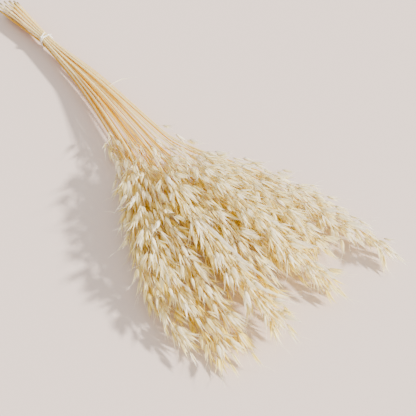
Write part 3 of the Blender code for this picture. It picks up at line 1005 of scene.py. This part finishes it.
def awn(draw):
    """A bristle from a floret's back, straight at first, with a knee where it leaves the glumes."""
    foot, back = Vector((0.0002, 0, 0.0070)), Vector((0.0009, 0.0002, 0.0130))
    knee = Vector((0.0012, 0.0004, 0.0190))
    beyond = Vector((draw.uniform(0.25, 0.75), draw.uniform(-0.4, 0.4), 1)).normalized()
    far = knee + draw.uniform(*AWN_BEYOND_KNEE) * beyond
    bow = Vector((0.0010, 0, 0))
    radii = [AWN_RADIUS * share for share in (1, 1, 1, 0.75, 0.3)]
    rings = ring_places([foot, back, knee, knee.lerp(far, 0.5) + bow, far], radii)
    return as_shape("awn", [(hose(rings, 3), BRISTLE)])


def stalk():
    """A stalk of unit length and radius, arched, and thicker where the spikelet sits."""
    rings = []
    for along, radius in STALK_RINGS:
        middle = Matrix.Translation((ARCH * math.sin(math.pi * along), 0, along))
        rings.append(middle @ Matrix.Diagonal((radius, radius, 1, 1)))
    return as_shape("stalk", [(hose(rings, 4), STRAW)])


shape_draw = random.Random(SEED + 1)
gapes = [mix(SHUT, OPEN, i / (OPENINGS - 1)) for i in range(OPENINGS)]
full_spikelets = [spikelet(gape, GLUME_HALF_WIDTH, shape_draw) for gape in gapes]
slim_spikelets = [spikelet(gape, SLIM_HALF_WIDTH, shape_draw) for gape in gapes]
awns = [awn(shape_draw) for _ in range(AWNS)]
stalk_shape = stalk()
for shape in (full_spikelets[0], awns[0], stalk_shape):
    print(shape.name, "faces:", len(shape.polygons))

# %% [markdown]
# ## The culms
# A culm is a hollow straw. It swells a little at its nodes, and above a node the sheath of a leaf makes it
# slightly thicker until the sheath ends. A curve with a bevel would give a plain tube in one step. An
# extruded ring can also change its radius from point to point and be bored out at the cut end.

# %% Extruding a culm and the axis of its head
CULM_SIDES = 10
CULM_STEP = 0.011
AXIS_TIP_RADIUS = 0.00038
LOW_NODE = (-0.085, -0.045)
HIGH_NODE = (0.085, 0.17)
NODE_SWELLING = 0.00038
NODE_HALF_LENGTH = 0.0022
NODE_RINGS = (-1, -0.4, 0, 0.4, 1)
SHEATH = 0.00013
SHEATH_LENGTH = (0.06, 0.10)
SHEATH_EDGE = 0.0004
STRAW_WALL = 0.28
HOLLOW_DEPTH = 0.006
ON_THE_TABLE = 0.00025


def culm_marks(culm, nodes, sheath_end):
    """Distances for the rings: even steps, and closer ones at each node and at the end of the sheath."""
    steps = math.ceil((culm.reach + culm.cut) / CULM_STEP)
    marks = [mix(-culm.cut, culm.reach, i / steps) for i in range(steps + 1)]
    marks += [node + share * NODE_HALF_LENGTH for node in nodes for share in NODE_RINGS]
    return sorted(marks + [sheath_end - SHEATH_EDGE, sheath_end + SHEATH_EDGE])


def culm_radius(culm, distance, nodes, sheath_end):
    """The culm's radius, with its nodes, its sheath and the thin axis of its head."""
    if distance > culm.neck:
        return mix(NECK_RADIUS, AXIS_TIP_RADIUS, (distance - culm.neck) / culm.head)
    radius = culm.radius(distance)
    for node in nodes:
        radius += NODE_SWELLING * smooth(1 - abs(distance - node) / NODE_HALF_LENGTH)
    if nodes[-1] < distance < sheath_end:
        radius += SHEATH
    return radius


def make_culm(culm, draw):
    """The tube from the cut end to the tip of the head's axis."""
    nodes = [draw.uniform(*LOW_NODE), draw.uniform(*HIGH_NODE)]
    sheath_end = nodes[-1] + draw.uniform(*SHEATH_LENGTH)
    marks = culm_marks(culm, nodes, sheath_end)
    points = [culm.point(mark) for mark in marks]
    radii = [culm_radius(culm, mark, nodes, sheath_end) for mark in marks]
    tube = hose(ring_places(points, radii), CULM_SIDES, (STRAW_WALL * CULM_RADIUS, HOLLOW_DEPTH))
    for vertex in tube.verts:
        vertex.co = raised(vertex.co, ON_THE_TABLE)
    return as_shape("culm", [(tube, STRAW)])


# %% [markdown]
# ## Putting each oat together
# Every stem becomes one object: the culm, then for each sprig an arched stalk, a spikelet chosen by how far
# it gapes, and on most an awn. Each copy is placed by a matrix, as an instance would be, but its points are
# real, so that a spikelet that would sink into the table can be lifted by just what it lacks.

# %% Setting copies into an oat
# Culms low in the bundle are painted amber and high ones pale: painted shade in the gaps between the culms.
AMBER_BELOW, PALE_ABOVE = 0.30, 0.90
AWNED = 0.75
AWNS_PROUD = np.array((0.010, 0.0035, 0.0018))
STALK_HALF_WIDTH = 0.00022
corners_of = {}


def corners_at(shape, place):
    """Where a shape's points are when a matrix places it."""
    if shape.name not in corners_of:
        corners = np.empty(3 * len(shape.vertices))
        shape.vertices.foreach_get("co", corners)
        corners_of[shape.name] = corners.reshape(-1, 3)
    return corners_of[shape.name] @ np.array(place.to_3x3()).T + np.array(place.translation)


def fits(shape, place):
    """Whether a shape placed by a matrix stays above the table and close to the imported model's box."""
    corners = corners_at(shape, place)
    return corners[:, 2].min() > ON_THE_TABLE and near_box(corners, AWNS_PROUD)


def stalk_place(sprig, culm):
    """From the axis to the spikelet's neck, with the arch on the upper side."""
    root = culm.point(sprig.distance)
    heading = sprig.neck - root
    side, up = cross_frame(heading.normalized())
    return placing(root, STALK_HALF_WIDTH * up, -STALK_HALF_WIDTH * side, heading)


def spikelet_place(sprig, swap):
    """The neck as origin, the glumes to both sides along X, and Z to the tips."""
    aim = (sprig.belly - sprig.neck).normalized()
    size = sprig.size / GLUME_LENGTH
    return placing(sprig.neck, swap * size * sprig.across, -swap * size * sprig.depth, size * aim)


def lifted(sprig, shape, swap):
    """The sprig, and its spikelet's matrix, raised where the spikelet would sink into the table."""
    place = spikelet_place(sprig, swap)
    sunk = ON_THE_TABLE - corners_at(shape, place)[:, 2].min()
    if sunk <= 0:
        return sprig, place
    up = Vector((0, 0, sunk))
    return sprig._replace(neck=sprig.neck + up), Matrix.Translation(up) @ place


def set_in(oat, shape, place, tone, deep):
    """A copy of the shape joins the oat, placed by a matrix, with its own tone and its depth in the heap,
    which sets its painted shade.
    """
    copy = shape.copy()
    count = len(copy.vertices)
    copy.attributes["tone"].data.foreach_set("value", [tone] * count)
    copy.attributes["painted_shade"].data.foreach_set("value", [deep] * count)
    copy.transform(place)
    oat.from_mesh(copy)
    bpy.data.meshes.remove(copy)


def make_oat(number, culm, head, head_painted_shade, draw):
    """One stem with its head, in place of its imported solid."""
    oat = bmesh.new()
    culm_mesh = make_culm(culm, draw)
    # Painted shade: the lower a culm lies in the bundle, the more amber it is.
    paleness = smooth((culm.height - AMBER_BELOW) / (PALE_ABOVE - AMBER_BELOW))
    set_in(oat, culm_mesh, Matrix(), draw.random(), 1 - paleness)
    bpy.data.meshes.remove(culm_mesh)
    for sprig, deep in zip(head, head_painted_shade):
        tone = draw.random()
        opening = round((OPENINGS - 1) * min(max((sprig.gape - SHUT) / (OPEN - SHUT), 0), 1))
        shape = (slim_spikelets if sprig.slim else full_spikelets)[opening]
        sprig, place = lifted(sprig, shape, draw.choice((-1, 1)))
        set_in(oat, stalk_shape, stalk_place(sprig, culm), tone, deep)
        set_in(oat, shape, place, tone, deep)
        bristle = draw.choice(awns)
        if draw.random() < AWNED and fits(bristle, place):
            set_in(oat, bristle, place, tone, deep)
    name = f"oat_{number:02d}"
    piece = finished(as_mesh(f"stem_{number:02d}", oat), plant_materials)
    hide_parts(name)
    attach(piece, "root")
    return piece


oat_draw = random.Random(SEED + 2)
oats = [make_oat(i + 1, culms[i], heads[i], painted_shade[i], oat_draw) for i in range(CULMS)]
faces = sum(len(oat.data.polygons) for oat in oats)
triangles = sum(len(polygon.vertices) - 2 for oat in oats for polygon in oat.data.polygons)
print("oats:", len(oats), "faces:", faces, "triangles:", triangles)

# %% [markdown]
# ## Dry leaf strips
# Most leaves are stripped when oats are cut for drying. A few narrow strips stay, curled and papery: a long
# one that surfaces among the heads, a shred at the side of the culms, and a thin one that hangs from the
# left heads. A plane could be bent for each, but a ring squeezed flat and extruded along a line, turning as
# it goes, is closed and curled at once.

# %% The strips
STRIP_HALF_THICKNESS = 0.00012
STRIP_STEP = 0.004
STRIP_SIDES = 8
STRIP_END = 0.15
STRIP_ROUNDS = 6


def evenly(points, step):
    """Points a step apart on the straight stretches between the given ones."""
    spread = [points[0]]
    for start, end in zip(points, points[1:]):
        pieces = max(round((end - start).length / step), 1)
        spread += [start.lerp(end, (i + 1) / pieces) for i in range(pieces)]
    return spread


def rounded(points, rounds):
    """The points with each inner one moved, again and again, to the mean of itself and its neighbours."""
    for _ in range(rounds):
        inner = [(before + point + after) / 3 for before, point, after in zip(points, points[1:], points[2:])]
        points = [points[0], *inner, points[-1]]
    return points


def leaf_strip(number, strip):
    """A strip that narrows to both ends and turns along its line."""
    points = rounded(evenly([Vector(point) for point in strip.line], STRIP_STEP), STRIP_ROUNDS)
    shares = [i / (len(points) - 1) for i in range(len(points))]
    wide = [strip.half_width * mix(STRIP_END, 1, math.sin(math.pi * share ** 0.8)) for share in shares]
    thick = [STRIP_HALF_THICKNESS] * len(points)
    turns = [strip.turn * smooth(share) for share in shares]
    ribbon = hose(ring_places(points, wide, thick, turns), STRIP_SIDES)
    piece = finished(as_shape(f"leaf_strip_{number}", [(ribbon, 0)]), [plant_materials[PAPER]])
    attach(piece, "root")
    return piece


strips = [leaf_strip(i + 1, strip) for i, strip in enumerate(STRIPS)]
print("leaf strips:", len(strips))

# %% [markdown]
# ## The twine
# White cotton twine, twisted from three plies, goes twice round the culms. Its turns cross on top, where a
# knot holds them, and its two ends stick out and fray. One smooth tube with a bump would pass from far
# away, but three tubes wound round each other have the notched outline of a string.

# %% The sizes of the twine
CORD_RADIUS = 0.00075
PLIES = 3
PLY_RADIUS = 0.00036
PLY_SIDES = 6
TWIST_LENGTH = 0.0040
TWIST_STEP = 0.0004
TURN_SLANT = 0.0022
TURN_DEGREES = 5
KNOT_SIDE = math.radians(105)
KNOT_RADIUS = 0.0019
KNOT_FLAT = 0.40
KNOT_HIGH = 0.45
KNOT_STEPS = 60
TAILS = (
    ((0, 0, 0), (0.0015, 0.0045, 0.0016), (0.0030, 0.0095, 0.0020), (0.0042, 0.0142, 0.0008)),
    ((0, 0, 0), (-0.0022, 0.0028, 0.0014), (-0.0046, 0.0060, 0.0017), (-0.0062, 0.0094, 0.0006)),
)
TAIL_ROUNDS = 12
FRAY = 0.0034
FRAY_WIDER = 1.6
FRAY_SLACKER = 0.3
FRAY_THINNER = 0.35


# %% The lines that the twine follows
def beside_culms(angle, offset):
    """The point this far outside the outermost culm on one side of the tie."""
    out = Vector((0, math.cos(angle), math.sin(angle)))
    outermost = max((culm.on_line(0) for culm in culms), key=lambda place: place.dot(out))
    return outermost + (CULM_RADIUS + GAP + offset) * out


def turn_line(slant):
    """Once round the culms, from the knot to the knot, in a plane that leans by the slant."""
    points = []
    for degrees in range(0, 360 + TURN_DEGREES, TURN_DEGREES):
        angle = math.radians(degrees)
        points.append(beside_culms(KNOT_SIDE + angle, CORD_RADIUS) + Vector((slant * math.sin(angle), 0, 0)))
    return points


def knot_line():
    """An overhand knot, closed on itself, lying flat on top of the turns."""
    out = Vector((0, math.cos(KNOT_SIDE), math.sin(KNOT_SIDE)))
    middle = beside_culms(KNOT_SIDE, KNOT_RADIUS)
    across, along = out.cross(Vector((1, 0, 0))), Vector((1, 0, 0))
    points = []
    for step in range(KNOT_STEPS + 1):
        turn = math.tau * step / KNOT_STEPS
        flat = (math.sin(turn) + 2 * math.sin(2 * turn)) * along
        flat += (math.cos(turn) - 2 * math.cos(2 * turn)) * across
        points.append(middle + KNOT_RADIUS * (KNOT_FLAT * flat - KNOT_HIGH * math.sin(3 * turn) * out))
    return points


def tail_line(offsets):
    """One end of the twine, from inside the knot, on a smooth line through the offsets."""
    knot = beside_culms(KNOT_SIDE, KNOT_RADIUS)
    return rounded(evenly([knot + Vector(offset) for offset in offsets], TWIST_STEP), TAIL_ROUNDS)


# %% Twisting three plies along a line
def twisted(line, fraying=False):
    """Three thin tubes wound round a line. Where it frays, they part towards its end."""
    points = evenly(line, TWIST_STEP)
    frames = frames_along(points)
    marks = [0.0]
    for before, point in zip(points, points[1:]):
        marks.append(marks[-1] + (point - before).length)
    plies = []
    for ply in range(PLIES):
        strand = []
        for point, (side, up, _), mark in zip(points, frames, marks):
            loose = smooth((mark - marks[-1] + FRAY) / FRAY) if fraying else 0
            angle = math.tau * (ply / PLIES + mark / TWIST_LENGTH * (1 - FRAY_SLACKER * loose))
            offset = (CORD_RADIUS - PLY_RADIUS) * (1 + FRAY_WIDER * loose)
            strand.append(point + offset * around((side, up), angle))
        thinner = FRAY_THINNER * fraying
        radii = [PLY_RADIUS * (1 - thinner * smooth(mark / marks[-1] * 3 - 2)) for mark in marks]
        plies.append((hose(ring_places(strand, radii), PLY_SIDES), 0))
    return plies


# %% The cotton finish
COTTON = (0.90, 0.89, 0.86, 1)
# The cotton is a little darker in the grooves between the threads and lighter on the threads.
COTTON_IN_GROOVES = (0.80, 0.77, 0.70, 1)
COTTON_ON_THREADS = (0.95, 0.94, 0.92, 1)
COTTON_SHEEN = 0.4
THREAD_SLANT = 900.0
THREADS = 6.0
FLUFF_SCALE = 2600.0


def cotton_finish():
    """Soft white cotton: fine threads that run slantwise round each ply, a little darker in the grooves."""
    material, shader = painted("white_cotton", COTTON, 0.85)
    tree = material.node_tree
    place = grain_map(tree)
    along = maths(tree, "MULTIPLY", place["Y"], THREAD_SLANT, clamp=False)
    slant = maths(tree, "ADD", place["X"], along, clamp=False)
    turns = maths(tree, "MULTIPLY", slant, THREADS, clamp=False)
    threads = maths(tree, "PINGPONG", turns, 0.5, clamp=False)
    fluff = maths(tree, "MULTIPLY", noise(tree, FLUFF_SCALE, 3.0), 0.6)
    height = maths(tree, "ADD", threads, fluff)
    colour = blended(tree, ranged(tree, height, 0.1, 0.8), COTTON_IN_GROOVES, COTTON_ON_THREADS)
    normal = bumped(tree, height, 0.5, 0.00008)
    feed(tree, shader, {"Base Color": colour, "Normal": normal, "Sheen Weight": COTTON_SHEEN})
    return material


# %% The tie
def line_length(points):
    return sum((after - before).length for before, after in zip(points, points[1:]))


turns = [turn_line(TURN_SLANT), turn_line(-TURN_SLANT)]
tails = [tail_line(offsets) for offsets in TAILS]
plies = [ply for line in [*turns, knot_line()] for ply in twisted(line)]
plies += [ply for line in tails for ply in twisted(line, fraying=True)]
tie = finished(as_shape("twine_tie", plies), [cotton_finish()])
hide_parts("tie")
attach(tie, "root")
print("twine in mm:", round(1000 * sum(line_length(line) for line in [*turns, knot_line(), *tails])))
